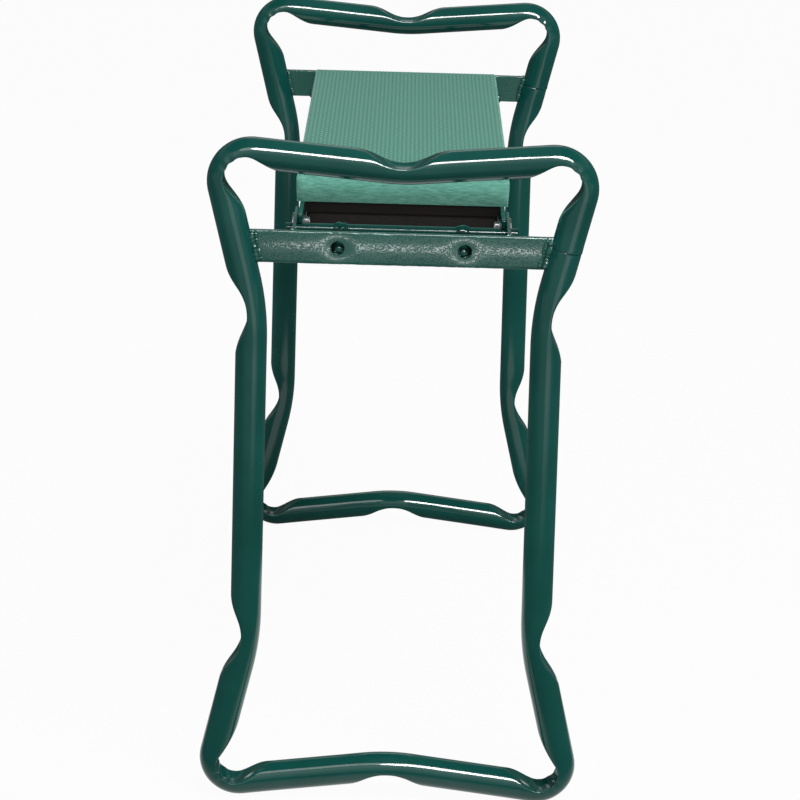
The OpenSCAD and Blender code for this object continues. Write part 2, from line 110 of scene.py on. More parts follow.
def add_node(tree, kind, settings=None, links=None, stops=()):
    """Adds a node.

    settings hold its own options and unlinked sockets. links hold its linked sockets, each with the socket it
    comes from, or with a node whose first socket that is. stops are a colour ramp's positions and colours.
    """
    node = tree.nodes.new(kind)
    for name, value in (settings or {}).items():
        if isinstance(name, str) and name.islower():
            setattr(node, name, value)
        else:
            node.inputs[name].default_value = value
    for name, source in (links or {}).items():
        tree.links.new(source.outputs[0] if isinstance(source, bpy.types.Node) else source, node.inputs[name])
    for i, (position, shade) in enumerate(stops):
        ramp = node.color_ramp.elements
        stop = ramp[i] if i < 2 else ramp.new(position)
        stop.position, stop.color = position, shade
    return node


def new_material(name):
    """An empty material. Returns it, its tree and its object coordinates."""
    material = bpy.data.materials.new(name)
    material.use_nodes = True
    tree = material.node_tree
    tree.nodes.clear()
    return material, tree, add_node(tree, "ShaderNodeTexCoord").outputs["Object"]


def add_surface(tree, settings, links):
    """Gives a material its shader and its output."""
    shader = add_node(tree, "ShaderNodeBsdfPrincipled", settings, links)
    add_node(tree, "ShaderNodeOutputMaterial", links={"Surface": shader})


def per_mm(size):
    """Noise scale whose lumps are about that many millimetres wide."""
    return 1 / (size * MM)


def powder_coat(name, deep, light, gloss, rough, peel_mm, peel_depth, speckled=False):
    """Polyester powder coat baked on steel: deep green gloss that flows out to an orange peel.

    Where it is sprayed thin it stays speckled: bright grains in a duller film. Peel and grains are drawn a
    little coarser than the real ones, so that they show.
    """
    material, tree, place = new_material(name)
    cloud = add_node(tree, "ShaderNodeTexNoise", {"Scale": per_mm(45), "Detail": 3.0}, {"Vector": place})
    tint = add_node(tree, "ShaderNodeValToRGB", links={"Fac": cloud},
                    stops=((0.35, colour(deep)), (0.7, colour(light))))
    peel = add_node(tree, "ShaderNodeTexNoise",
                    {"Scale": per_mm(peel_mm), "Detail": 0.0 if speckled else 2.0}, {"Vector": place})
    span = {"From Min": 0.6, "From Max": 0.48} if speckled else {}
    haze = add_node(tree, "ShaderNodeMapRange", {**span, "To Min": rough[0], "To Max": rough[1]},
                    {"Value": peel if speckled else cloud})
    bump = add_node(tree, "ShaderNodeBump", {"Strength": 1.0, "Distance": peel_depth * MM}, {"Height": peel})
    add_surface(tree, {"Specular IOR Level": gloss}, {"Base Color": tint, "Roughness": haze, "Normal": bump})
    return material


def zinc_plate():
    """Bright zinc on small steel fasteners: cool silver with faint mottling."""
    material, tree, place = new_material("zinc_plated_steel")
    mottle = add_node(tree, "ShaderNodeTexNoise", {"Scale": per_mm(1.2), "Detail": 4.0}, {"Vector": place})
    tint = add_node(tree, "ShaderNodeValToRGB", links={"Fac": mottle},
                    stops=((0.0, colour("#a3a7a9")), (1.0, colour("#cfd2d3"))))
    haze = add_node(tree, "ShaderNodeMapRange", {"To Min": 0.28, "To Max": 0.42}, {"Value": mottle})
    add_surface(tree, {"Metallic": 1.0}, {"Base Color": tint, "Roughness": haze})
    return material


def spring_steel():
    """Oil-blackened spring wire: near-black steel with a green cast and a soft shine."""
    material, tree, place = new_material("blackened_spring_wire")
    drawn = add_node(tree, "ShaderNodeTexNoise", {"Scale": per_mm(0.8), "Detail": 2.0}, {"Vector": place})
    tint = add_node(tree, "ShaderNodeValToRGB", links={"Fac": drawn},
                    stops=((0.0, colour("#1d3a33")), (1.0, colour("#3c5a52"))))
    add_surface(tree, {"Metallic": 1.0, "Roughness": 0.32}, {"Base Color": tint})
    return material


def add_pips(tree, place, cells):
    """Height of a moulded face: ribs, and rows of pips on them, over the foam's cells."""
    split = add_node(tree, "ShaderNodeSeparateXYZ", links={"Vector": place}).outputs
    waves = []
    for axis, length in (("X", 2 * RIB_PITCH), ("Y", PIP_PITCH)):
        turn = add_node(tree, "ShaderNodeMath", {"operation": "MULTIPLY", 1: 2 * math.pi / (length * MM)},
                        {0: split[axis]})
        waves.append(add_node(tree, "ShaderNodeMath", {"operation": "COSINE"}, {0: turn}))
    height = cells
    for wave in waves:
        crossed = add_node(tree, "ShaderNodeMath", {"operation": "MULTIPLY"}, {0: waves[0], 1: wave})
        height = add_node(tree, "ShaderNodeMath", {"operation": "MULTIPLY_ADD", 1: 0.4},
                          {0: crossed, 2: height})
    return add_node(tree, "ShaderNodeMath", {"operation": "MULTIPLY", 1: 0.7}, {0: height})


def eva_foam(name, low, high, moulded):
    """Closed-cell EVA foam: matt and slightly velvety.

    Moulded faces carry rows of pips, cut faces short streaks. Low spots are darker: painted shade in the
    hollows.
    """
    material, tree, place = new_material(name)
    drawn_out = add_node(tree, "ShaderNodeMapping", {"Scale": (1, 1, 1) if moulded else (0.16, 0.16, 1)},
                         {"Vector": place})
    height = add_node(tree, "ShaderNodeTexNoise", {"Scale": per_mm(0.9), "Detail": 2.0, "Roughness": 0.6},
                      {"Vector": drawn_out})
    if moulded:
        height = add_pips(tree, place, height)
    # Colour follows the height: painted shade, darker in the hollows between the pips and ribs
    tint = add_node(tree, "ShaderNodeValToRGB", links={"Fac": height},
                    stops=((0.28, colour(low)), (0.72, colour(high))))
    bump = add_node(tree, "ShaderNodeBump", {"Strength": 0.8, "Distance": 0.35 * MM}, {"Height": height})
    velvet = {"Roughness": 0.72, "Specular IOR Level": 0.35, "Sheen Weight": 0.12, "Sheen Roughness": 0.5}
    add_surface(tree, velvet, {"Base Color": tint, "Normal": bump})
    return material


def black_board():
    """Black polypropylene board: satin, with the streaks that rolling leaves and a faint brown cast."""
    material, tree, place = new_material("black_polypropylene")
    drawn_out = add_node(tree, "ShaderNodeMapping", {"Scale": (0.05, 0.05, 1)}, {"Vector": place})
    streak = add_node(tree, "ShaderNodeTexNoise", {"Scale": per_mm(1.5), "Detail": 4.0},
                      {"Vector": drawn_out})
    tint = add_node(tree, "ShaderNodeValToRGB", links={"Fac": streak},
                    stops=((0.0, colour("#171412")), (1.0, colour("#241f1c"))))
    haze = add_node(tree, "ShaderNodeMapRange", {"To Min": 0.45, "To Max": 0.65}, {"Value": streak})
    add_surface(tree, {"Specular IOR Level": 0.2}, {"Base Color": tint, "Roughness": haze})
    return material


tube_coat = powder_coat("green_powder_coat", "#0f5049", "#155a52", 0.45, (0.06, 0.11), 5.0, 0.03)
# The bar's coat is the tube's paint drawn a lighter green: painted light on the front bar's face
bar_coat_painted_lighter = powder_coat("green_powder_coat_coarse", "#235c51", "#2a6559", 0.5, (0.05, 0.3), 1.0, 0.022, True)
zinc = zinc_plate()
spring_wire = spring_steel()
green_foam = eva_foam("green_eva_foam", "#488473", "#6ab49f", True)
# Cut faces are a lighter green than moulded ones: partly the cut foam's own colour, partly painted light on
# the pad's front end
green_foam_cut_and_lit = eva_foam("green_eva_foam_cut", "#599988", "#7fc7b2", False)
black_foam = eva_foam("black_eva_foam", "#161312", "#211d1c", True)
black_foam_cut = eva_foam("black_eva_foam_cut", "#1d1a18", "#292523", False)
board_black = black_board()


# Mesh tools

# Points closer together than this become one
MERGE_DISTANCE = 0.004
painted, plated = [], []


class Shape:
    """Points in millimetres and faces that one piece is gathered from, with each face's material slot."""

    def __init__(self):
        self.points, self.faces, self.slots = [], [], []

    def add(self, points, faces, slots=None):
        first = len(self.points)
        self.points += [tuple(float(c) for c in p) for p in points]
        self.faces += [tuple(first + i for i in f) for f in faces]
        self.slots += slots or [0] * len(faces)
        return self

    def add_moved(self, shape, move):
        """Adds another shape's points, each changed by move."""
        return self.add([move(p) for p in shape.points], shape.faces)

    def flipped(self, axis):
        """Its mirror image along an axis."""
        return Shape().add_moved(self, lambda p: [-c if i == axis else c for i, c in enumerate(p)])


def make(name, shape, materials, body, slot, replaces=(), crease=35):
    """Turns a shape into an object that rides a body. Edges sharper than crease degrees stay sharp."""
    mesh = bpy.data.meshes.new(name)
    work = bmesh.new()
    verts = [work.verts.new(Vector(p) * MM) for p in shape.points]
    for corners, material_slot in zip(shape.faces, shape.slots):
        work.faces.new([verts[i] for i in corners]).material_index = material_slot
    bmesh.ops.remove_doubles(work, verts=work.verts, dist=MERGE_DISTANCE * MM)
    bmesh.ops.dissolve_degenerate(work, edges=work.edges, dist=MERGE_DISTANCE * MM)
    bmesh.ops.recalc_face_normals(work, faces=work.faces)
    work.to_mesh(mesh)
    work.free()
    for face in mesh.polygons:
        face.use_smooth = True
    mesh.set_sharp_from_angle(angle=math.radians(crease))
    for material in materials:
        mesh.materials.append(material)
    piece = bpy.data.objects.new(name, mesh)
    bpy.context.scene.collection.objects.link(piece)
    if slot == "green_paint":
        painted.append(piece)
    elif slot == "zinc":
        plated.append(piece)
    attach(piece, body)
    if replaces:
        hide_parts(*replaces)
    return piece


def band(a, b, sides):
    """Quads between two rings of points, which start at points a and b."""
    return [(a + k, a + (k + 1) % sides, b + (k + 1) % sides, b + k) for k in range(sides)]


def ring_faces(rings, sides):
    """Quads between each ring of points and the next."""
    return [face for i in range(rings - 1) for face in band(i * sides, (i + 1) * sides, sides)]


def end_faces(rings, sides):
    """Faces that close the first and the last ring."""
    last = (rings - 1) * sides
    return [tuple(range(sides)), tuple(range(last, last + sides))]


def lathe(profile, axis, at, sides=48):
    """Revolves (distance along axis, radius) pairs about an axis through a point. Both ends close."""
    across = [(1, 2), (2, 0), (0, 1)][axis]
    points = []
    for along, radius in profile:
        for k in range(sides):
            p = np.array(at, float)
            p[axis] += along
            p[across[0]] += radius * math.cos(2 * math.pi * k / sides)
            p[across[1]] += radius * math.sin(2 * math.pi * k / sides)
            points.append(p)
    return Shape().add(points, ring_faces(len(profile), sides) + end_faces(len(profile), sides))


def sweep(path, radii, sides=10):
    """Round bar along a path, with a radius at each point."""
    path = np.array(path, float)
    ahead = np.gradient(path, axis=0)
    ahead /= np.linalg.norm(ahead, axis=1)[:, None]
    slanting = (0.31, 0.87, 0.39)
    side = np.cross(ahead[0], slanting)
    points = []
    for at, along, radius in zip(path, ahead, radii):
        side = side - along * np.dot(side, along)
        side /= np.linalg.norm(side)
        other = np.cross(along, side)
        for k in range(sides):
            a = 2 * math.pi * k / sides
            points.append(at + radius * (math.cos(a) * side + math.sin(a) * other))
    return Shape().add(points, ring_faces(len(path), sides) + end_faces(len(path), sides))


def flat_bar(outlines, x0, x1, edge):
    """Plate between x0 and x1 with rounded edges, cut to outlines of (y, z) points. Inner ones are holes."""
    curve = bpy.data.curves.new("outline", "CURVE")
    curve.dimensions, curve.fill_mode = "2D", "BOTH"
    curve.extrude, curve.bevel_depth, curve.bevel_resolution = (x1 - x0) / 2 - edge, edge, 2
    curve.offset = -edge
    for outline in outlines:
        spline = curve.splines.new("POLY")
        spline.points.add(len(outline) - 1)
        spline.use_cyclic_u = True
        for point, (y, z) in zip(spline.points, outline):
            point.co = (y, z, 0, 1)
    draft = bpy.data.objects.new("outline", curve)
    bpy.context.scene.collection.objects.link(draft)
    bpy.context.view_layer.update()
    mesh = draft.evaluated_get(bpy.context.evaluated_depsgraph_get()).to_mesh()
    middle = (x0 + x1) / 2
    points = [(middle + v.co.z, v.co.x, v.co.y) for v in mesh.vertices]
    faces = [tuple(p.vertices) for p in mesh.polygons]
    bpy.data.objects.remove(draft)
    return Shape().add(points, faces)


def arc(centre, radius, start, stop, steps):
    """Points on an arc, angles in degrees."""
    angles = [math.radians(start + (stop - start) * i / steps) for i in range(steps + 1)]
    return [(centre[0] + radius * math.cos(a), centre[1] + radius * math.sin(a)) for a in angles]


def circle(centre, radius, steps=40):
    return arc(centre, radius, 0, 360, steps)[:-1]


def at_end(shape, end):
    """The shape at the front, or its mirror image at the rear."""
    return shape if end == "front" else shape.flipped(1)


def at_side(shape, side):
    """The shape at the right, or its mirror image at the left."""
    return shape if side == "right" else shape.flipped(0)


# Sizes shared by the pieces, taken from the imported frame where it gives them

rod_low, rod_high = box_mm("front_lock_rod")
ROD_Y, PIVOT_Z = ((rod_low + rod_high) / 2)[1:]
ROD_R = (rod_high[2] - rod_low[2]) / 2
ROD_HALF = rod_high[0]
bar_low, bar_high = box_mm("front_crossbar")
FRAME_Y, BAR_Z = ((bar_low + bar_high) / 2)[1:]
BAR_HALF_HEIGHT, BAR_HALF_DEPTH = (bar_high[2] - bar_low[2]) / 2, (bar_high[1] - bar_low[1]) / 2
pin_low, pin_high = box_mm("front_right_lock_pin")
PIN_X, PIN_Z = (pin_low[0] + pin_high[0]) / 2, (pin_low[2] + pin_high[2]) / 2
PIN_R = (pin_high[0] - pin_low[0]) / 2
plate_low, plate_high = box_mm("front_right_hinge_plate")
rail_low, rail_high = box_mm("right_side_rail")
PIVOT_Y = next(j for j in frame["joints"] if j["name"] == "front_fold")["pos_m"][1] / MM
PIVOT_R = 3.0
WINDOW_X, WINDOW_R = 44.0, 5.0
LOCK_TRAVEL = 7.0
SLIP = 0.3


# Frame tube: the CAD loop's formula with finer rings. Its dents are softer, and on legs and middles shorter.

TUBE_R, TUBE_WALL, TUBE_SIDES = 11.0, 1.2, 64
PAD_WIDTH, LEG_GAP, LEG_SPLAY = 153.0, 15.1, 2.0
SEAT_HEIGHT, HANDLE_RISE = 444.0, 46.0
HANDLE_FLARE, HANDLE_DIP, FOOT_FLARE, FOOT_ARCH = 21.0, 8.8, 23.4, 13.5
UPPER_BEND_DROP, LOWER_BEND_Z = 75.0, 122.0
HANDLE_R, FOOT_R, LEG_BEND_R, MIDDLE_R = 20.0, 18.0, 190.0, 150.0

LEG_X = PAD_WIDTH / 2 + LEG_GAP + TUBE_R
HANDLE_TOP = SEAT_HEIGHT + HANDLE_RISE - TUBE_R
HANDLE_MIDDLE, FOOT_MIDDLE = (0, HANDLE_TOP - HANDLE_DIP), (0, TUBE_R + FOOT_ARCH)
UPPER_BEND, LOWER_BEND = (LEG_X, SEAT_HEIGHT - UPPER_BEND_DROP), (LEG_X + LEG_SPLAY, LOWER_BEND_Z)
HANDLE_CENTRE = (LEG_X + HANDLE_FLARE - HANDLE_R, HANDLE_TOP - HANDLE_R)
FOOT_CENTRE = (LEG_X + FOOT_FLARE - FOOT_R, TUBE_R + FOOT_R)

# Depth of the dents, half their length and how full they are: in gentle bends, in tight corners, and where a
# foot corner's dent runs up the leg
CRUSH_DEPTH, CORNER_CRUSH, DENT_FADE = 8.8, 11.2, 3.0
DENT_REACH, DENT_FULLNESS = 33.0, 2.4
CRUSH_REACH, CRUSH_FULLNESS = 39.0, 3.0
SHIN_REACH, SHIN_FULLNESS = 44.0, 1.8
# A dent's floor is hollow, its rim is blended and its sides bulge by a share
HOLLOW, BULGE = 3.0, 0.08
DENT_BLEND, CORNER_BLEND = 3.0, 4.5
# Small folds across the floor of a tight corner, and puckers in its sides
FOLD_DEPTH, FOLD_PITCH, FOLD_SPREAD, FOLD_BOW = 0.9, 7.5, 8.0, 0.03
PUCKER, PUCKER_PITCH, PUCKER_SPREAD, PUCKER_BAND = 0.035, 6.5, 7.0, 5.0
# Distances of rings from the middle of a bend, closer together over the folds of a tight corner
BEND_STEPS = [1.1 * DENT_REACH * i / 20 for i in range(-20, 21)]
CORNER_STEPS = [1.02 * SHIN_REACH * i / 20 for i in range(-20, 21) if abs(i) > 5]
CORNER_STEPS = sorted(CORNER_STEPS + [0.75 * i for i in range(-16, 17)])
# The two ends of the tube at its seam: distance from the seam, and depth below the tube's surface
SEAM_DROP = 4.6
SOCKET = [(0.12, TUBE_WALL), (0.12, 0.06), (0.25, -0.12), (0.6, -0.2), (1.5, -0.18), (4, -0.07), (7, 0.0)]
SPIGOT = [(0.12, TUBE_WALL), (0.12, 0.4), (0.4, 0.25), (1.2, 0.12), (3, 0.04), (6, 0.0)]


def lines_meet(p, hp, q, hq):
    """Where a line through p with heading hp meets a line through q with heading hq."""
    dx, dz = q[0] - p[0], q[1] - p[1]
    t = (dx * math.sin(hq) - dz * math.cos(hq)) / math.sin(hq - hp)
    return p[0] + t * math.cos(hp), p[1] + t * math.sin(hp)


def corner_outside(p, q, c, r):
    """Corner whose lines from p and to q pass outside the circle about c."""
    def leaning(a, side):
        dx, dz = c[0] - a[0], c[1] - a[1]
        return math.atan2(dz, dx) + side * math.asin(r / math.hypot(dx, dz))
    return lines_meet(p, leaning(p, -1), q, leaning(q, 1))


HANDLE_CORNER = corner_outside(UPPER_BEND, HANDLE_MIDDLE, HANDLE_CENTRE, HANDLE_R)
FOOT_CORNER = corner_outside(FOOT_MIDDLE, LOWER_BEND, FOOT_CENTRE, FOOT_R)
SLOPE = math.atan2(HANDLE_CORNER[0] - UPPER_BEND[0], HANDLE_CORNER[1] - UPPER_BEND[1])
BAR_END_X = LEG_X + math.tan(SLOPE) * (PIVOT_Z - UPPER_BEND[1])


def mirrored(p):
    return -p[0], p[1]


LOOP = [
    (HANDLE_CORNER, HANDLE_R), (HANDLE_MIDDLE, MIDDLE_R), (mirrored(HANDLE_CORNER), HANDLE_R),
    (mirrored(UPPER_BEND), LEG_BEND_R), (mirrored(LOWER_BEND), LEG_BEND_R),
    (mirrored(FOOT_CORNER), FOOT_R), (FOOT_MIDDLE, MIDDLE_R), (FOOT_CORNER, FOOT_R),
    (LOWER_BEND, LEG_BEND_R), (UPPER_BEND, LEG_BEND_R),
]


def loop_bends():
    """Corner, heading before it, turn and radius of each bend of the loop."""
    bends = []
    for i, (v, r) in enumerate(LOOP):
        before, after = LOOP[i - 1][0], LOOP[(i + 1) % len(LOOP)][0]
        heading = math.atan2(v[1] - before[1], v[0] - before[0])
        turn = math.atan2(after[1] - v[1], after[0] - v[0]) - heading
        bends.append((v, heading, (turn + math.pi) % (2 * math.pi) - math.pi, r))
    return bends


def along_bend(bend, t):
    """Point and heading at distance t along the tube from the middle of a bend."""
    v, heading, turn, r = bend
    side = math.copysign(1, turn)
    half = r * abs(turn) / 2
    on_arc = max(-half, min(half, t))
    beyond = t - on_arc
    middle = heading + turn / 2
    h = middle + side * on_arc / r
    lift = side * (r / math.cos(turn / 2) - r)
    x = v[0] - lift * math.sin(middle) + side * r * (math.sin(h) - math.sin(middle)) + beyond * math.cos(h)
    z = v[1] + lift * math.cos(middle) + side * r * (math.cos(middle) - math.cos(h)) + beyond * math.sin(h)
    return x, z, h


def dent(u, fullness):
    """Share of a dent's depth at u, which is 0 in its middle and 1 at its end."""
    end = math.exp(-DENT_FADE)
    return (math.exp(-DENT_FADE * abs(u) ** fullness) - end) / (1 - end) if abs(u) < 1 else 0.0


def dent_share(bend, t):
    """Share of a bend's dent at distance t from its middle."""
    (corner_x, _), _, _, radius = bend
    if radius not in (HANDLE_R, FOOT_R):
        return dent(t / DENT_REACH, DENT_FULLNESS)
    if radius == FOOT_R and t * corner_x > 0:
        return dent(t / SHIN_REACH, SHIN_FULLNESS)
    return dent(t / CRUSH_REACH, CRUSH_FULLNESS)


def soft_min(a, b, blend):
    """The smaller of two values, with the corner between them rounded."""
    if blend < 1e-6:
        return min(a, b)
    h = min(1.0, max(0.0, 0.5 + 0.5 * (b - a) / blend))
    return b * (1 - h) + a * h - blend * h * (1 - h)


def tube_ring(ring, radius):
    """Ring of the tube, pressed in on the inside of its bend. The sides bulge and roll over softly."""
    x, z, heading, crush, side, t, tight = ring
    depth = crush * (CORNER_CRUSH if tight else CRUSH_DEPTH)
    blend = (CORNER_BLEND if tight else DENT_BLEND) * min(1.0, 1.6 * crush)
    points = []
    for k in range(TUBE_SIDES):
        a = 2 * math.pi * k / TUBE_SIDES
        w, v = side * radius * math.cos(a), radius * math.sin(a)
        if depth > 0:
            floor = radius - depth - HOLLOW * crush * max(0.0, 1 - (v / radius) ** 2)
            pucker = 0
            if tight:
                fold = math.exp(-(t / FOLD_SPREAD) ** 2)
                fold *= math.cos(2 * math.pi * t / FOLD_PITCH + FOLD_BOW * v * v)
                floor += FOLD_DEPTH * fold * (1 - 0.5 * (v / radius) ** 2)
                pucker = PUCKER * math.exp(-(t / PUCKER_SPREAD) ** 2 - ((w - floor) / PUCKER_BAND) ** 2)
                pucker *= math.cos(2 * math.pi * t / PUCKER_PITCH)
            w = soft_min(w, floor, blend)
            v *= 1 + BULGE * crush + pucker
        w *= side
        points.append((x - w * math.sin(heading), FRAME_Y + v, z + w * math.cos(heading)))
    return points


def frame_tube():
    """Loop of tube with an open seam on its right leg."""
    bends = loop_bends()
    over, under = along_bend(bends[0], -CRUSH_REACH), along_bend(bends[-1], CRUSH_REACH)
    seam = [(a + b) / 2 for a, b in zip(over, under)]
    seam = (seam[0] - SEAM_DROP * math.sin(SLOPE), seam[1] - SEAM_DROP * math.cos(SLOPE), seam[2])

    def seam_ring(step, sink):
        at = (seam[0] + step * math.cos(seam[2]), seam[1] + step * math.sin(seam[2]))
        return (*at, seam[2], 0, 1, 0, False), TUBE_R - sink

    rings = [seam_ring(step, sink) for step, sink in SOCKET]
    for bend in bends:
        tight = bend[3] in (HANDLE_R, FOOT_R)
        side = math.copysign(1, bend[2])
        for t in CORNER_STEPS if tight else BEND_STEPS:
            rings.append(((*along_bend(bend, t), dent_share(bend, t), side, t, tight), TUBE_R))
    rings += [seam_ring(-step, sink) for step, sink in reversed(SPIGOT)]
    outer = [p for ring, radius in rings for p in tube_ring(ring, radius)]
    inner = [p for ring, _ in rings for p in tube_ring(ring, TUBE_R - TUBE_WALL)]
    skin = ring_faces(len(rings), TUBE_SIDES)
    faces = skin + [tuple(len(outer) + i for i in face) for face in skin]
    for first in (0, len(outer) - TUBE_SIDES):
        faces += band(first, len(outer) + first, TUBE_SIDES)
    return Shape().add(outer + inner, faces)


# Crossbar: flat bar with rolled edges, crowned, and dished where its holes were punched

BAR_EDGE, EDGE_STEPS, EDGE_WAVER = 1.0, 5, 0.1
CROWN, DISH, DISH_R, DISH_STRETCH = 0.5, 0.8, 6.5, 1.35
BAR_FLAT = BAR_HALF_HEIGHT - BAR_EDGE
# Each hole lies in a patch of rings that grow from its rim to the patch's square outline
HOLE_PATCH, PATCH_STEPS = 13.0, 14
PATCH_RINGS = (0, 0.03, 0.08, 0.15, 0.25, 0.37, 0.5, 0.65, 0.82, 1)
PATCH_MARKS = [2 * i / PATCH_STEPS - 1 for i in range(PATCH_STEPS + 1)]
END_STEPS, MIDDLE_STEPS, END_GAP = 6, 24, 0.1


def leg_side_x(y, z):
    """Where the right leg's inner side is, y from the frame's plane and z from the pivot."""
    return BAR_END_X + (z * math.sin(SLOPE) - math.sqrt(TUBE_R ** 2 - y * y)) / math.cos(SLOPE)


def on_bar(x, y, z):
    """Place of a point of the bar, whose outer face is crowned and dished at the holes."""
    out = 0
    if abs(y + BAR_HALF_DEPTH) < 1e-6:
        out = CROWN * (1 - (z / BAR_HALF_HEIGHT) ** 2)
        for hole in (-WINDOW_X, WINDOW_X):
            out -= DISH * math.exp(-(math.hypot((x - hole) / DISH_STRETCH, z) / DISH_R) ** 2)
    return x, FRAME_Y + y - out, BAR_Z + z


def hole_patches(hole):
    """The bar's two faces round a hole, and the hole's wall between them."""
    flat, marks = BAR_FLAT, PATCH_MARKS[:-1]
    square = [(HOLE_PATCH * s, -flat) for s in marks] + [(HOLE_PATCH, flat * s) for s in marks]
    square += [(-HOLE_PATCH * s, flat) for s in marks] + [(-HOLE_PATCH, -flat * s) for s in marks]
    shape = Shape()
    wall = []
    for y in (-BAR_HALF_DEPTH, BAR_HALF_DEPTH):
        points = []
        for grow in PATCH_RINGS:
            for sx, sz in square:
                a = math.atan2(sz / flat, sx / HOLE_PATCH)
                cx, cz = WINDOW_R * math.cos(a), WINDOW_R * math.sin(a)
                points.append(on_bar(hole + cx + (sx - cx) * grow, y, cz + (sz - cz) * grow))
        shape.add(points, ring_faces(len(PATCH_RINGS), len(square)))
        wall += points[:len(square)]
    return shape.add(wall, ring_faces(2, len(square)))


def crossbar():
    """Bar from leg to leg, with a patch of rings round each hole."""
    flat, deep, half = BAR_FLAT, BAR_HALF_DEPTH - BAR_EDGE, BAR_HALF_DEPTH
    section = [(-half, flat * s) for s in PATCH_MARKS]
    section += arc((-deep, flat), BAR_EDGE, 180, 90, EDGE_STEPS)[1:]
    section += arc((deep, flat), BAR_EDGE, 90, 0, EDGE_STEPS)
    section += [(half, -flat * s) for s in PATCH_MARKS[1:]]
    section += arc((deep, -flat), BAR_EDGE, 0, -90, EDGE_STEPS)[1:]
    section += arc((-deep, -flat), BAR_EDGE, 270, 180, EDGE_STEPS)[:-1]
    sides = len(section)
    back = PATCH_STEPS + 2 * EDGE_STEPS + 1
    near, far = WINDOW_X - HOLE_PATCH, WINDOW_X + HOLE_PATCH

    def end_ring(side, share):
        ring = []
        for y, z in section:
            end = leg_side_x(y, z + BAR_Z - PIVOT_Z) - END_GAP
            ring.append(on_bar(side * (far + share * (end - far)), y, z))
        return ring

    patch = [-HOLE_PATCH + 2 * HOLE_PATCH * i / PATCH_STEPS for i in range(PATCH_STEPS + 1)]
    inside = [-WINDOW_X + x for x in patch]
    inside += [-near + 2 * near * i / MIDDLE_STEPS for i in range(1, MIDDLE_STEPS)]
    inside += [WINDOW_X + x for x in patch]
    rings = [end_ring(-1, 1 - i / END_STEPS) for i in range(END_STEPS)]
    rings += [[on_bar(x, y, z) for y, z in section] for x in inside]
    rings += [end_ring(1, (i + 1) / END_STEPS) for i in range(END_STEPS)]
    rng = random.Random(5)
    for ring in rings:
        dy, dz = rng.uniform(-EDGE_WAVER, EDGE_WAVER), rng.uniform(-EDGE_WAVER, EDGE_WAVER)
        for k in (*range(PATCH_STEPS + 1, back), *range(back + PATCH_STEPS + 1, sides)):
            ring[k] = ring[k][0], ring[k][1] + dy, ring[k][2] + dz
    broad = {*range(PATCH_STEPS), *range(back, back + PATCH_STEPS)}
    second = END_STEPS + PATCH_STEPS + MIDDLE_STEPS
    holed = {*range(END_STEPS, END_STEPS + PATCH_STEPS), *range(second, second + PATCH_STEPS)}
    faces = end_faces(len(rings), sides)
    for i in range(len(rings) - 1):
        quads = band(i * sides, (i + 1) * sides, sides)
        faces += [quad for k, quad in enumerate(quads) if i not in holed or k not in broad]
    shape = Shape().add([p for ring in rings for p in ring], faces)
    for hole in (-WINDOW_X, WINDOW_X):
        patches = hole_patches(hole)
        shape.add(patches.points, patches.faces)
    return shape


# Weld beads: short overlapping runs laid by hand

# Spacing of a bead's rings and of its ripples
BEAD_STEP, RIPPLE_PITCH = 0.65, 2.6
# Its ripples, slow drift in width and wander off the line, as shares of its radius, and rings to each
RIPPLE, DRIFT, WANDER = 0.1, 0.22, 0.3
DRIFT_STEPS, WANDER_STEPS, TAPER_STEPS = 6, 5, 3
# Beads at each end of the bar: which face, how far out of it, how far in from the leg, and radius
BAR_BEADS = ((-1, 0.5, 0.9, 2.3), (-1, -0.2, 3.8, 1.7), (1, 0.3, 0.8, 1.9))
PLATE_BEAD, PLATE_BEAD_OUT = 1.2, 0.3


def bead(path, size, seed):
    """Lumpy weld of about that radius along a path, thin at both ends."""
    rng = random.Random(seed)
    path = np.array(path, float)
    length = np.concatenate([[0], np.cumsum(np.linalg.norm(np.diff(path, axis=0), axis=1))])
    count = max(8, int(length[-1] / BEAD_STEP))
    stops = np.linspace(0, length[-1], count)
    fine = np.stack([np.interp(stops, length, path[:, i]) for i in range(3)], 1)
    phase = rng.uniform(0, 6)
    drifts = [rng.uniform(-1, 1) for _ in range(count // DRIFT_STEPS + 3)]
    radii = []
    for i, s in enumerate(stops):
        drift = np.interp(i / DRIFT_STEPS, range(len(drifts)), drifts)
        taper = min(1.0, 0.35 + 0.65 * min(i, count - 1 - i) / TAPER_STEPS)
        ripple = math.sin(2 * math.pi * s / RIPPLE_PITCH + phase)
        radii.append(taper * size * (1 + RIPPLE * ripple + DRIFT * drift))
    marks = count // WANDER_STEPS + 3
    bumps = np.array([[rng.uniform(-WANDER, WANDER) * size for _ in range(3)] for _ in range(marks)])
    at = np.arange(count) / WANDER_STEPS
    wander = np.stack([np.interp(at, range(marks), bumps[:, i]) for i in range(3)], 1)
    return sweep(fine + wander, radii)


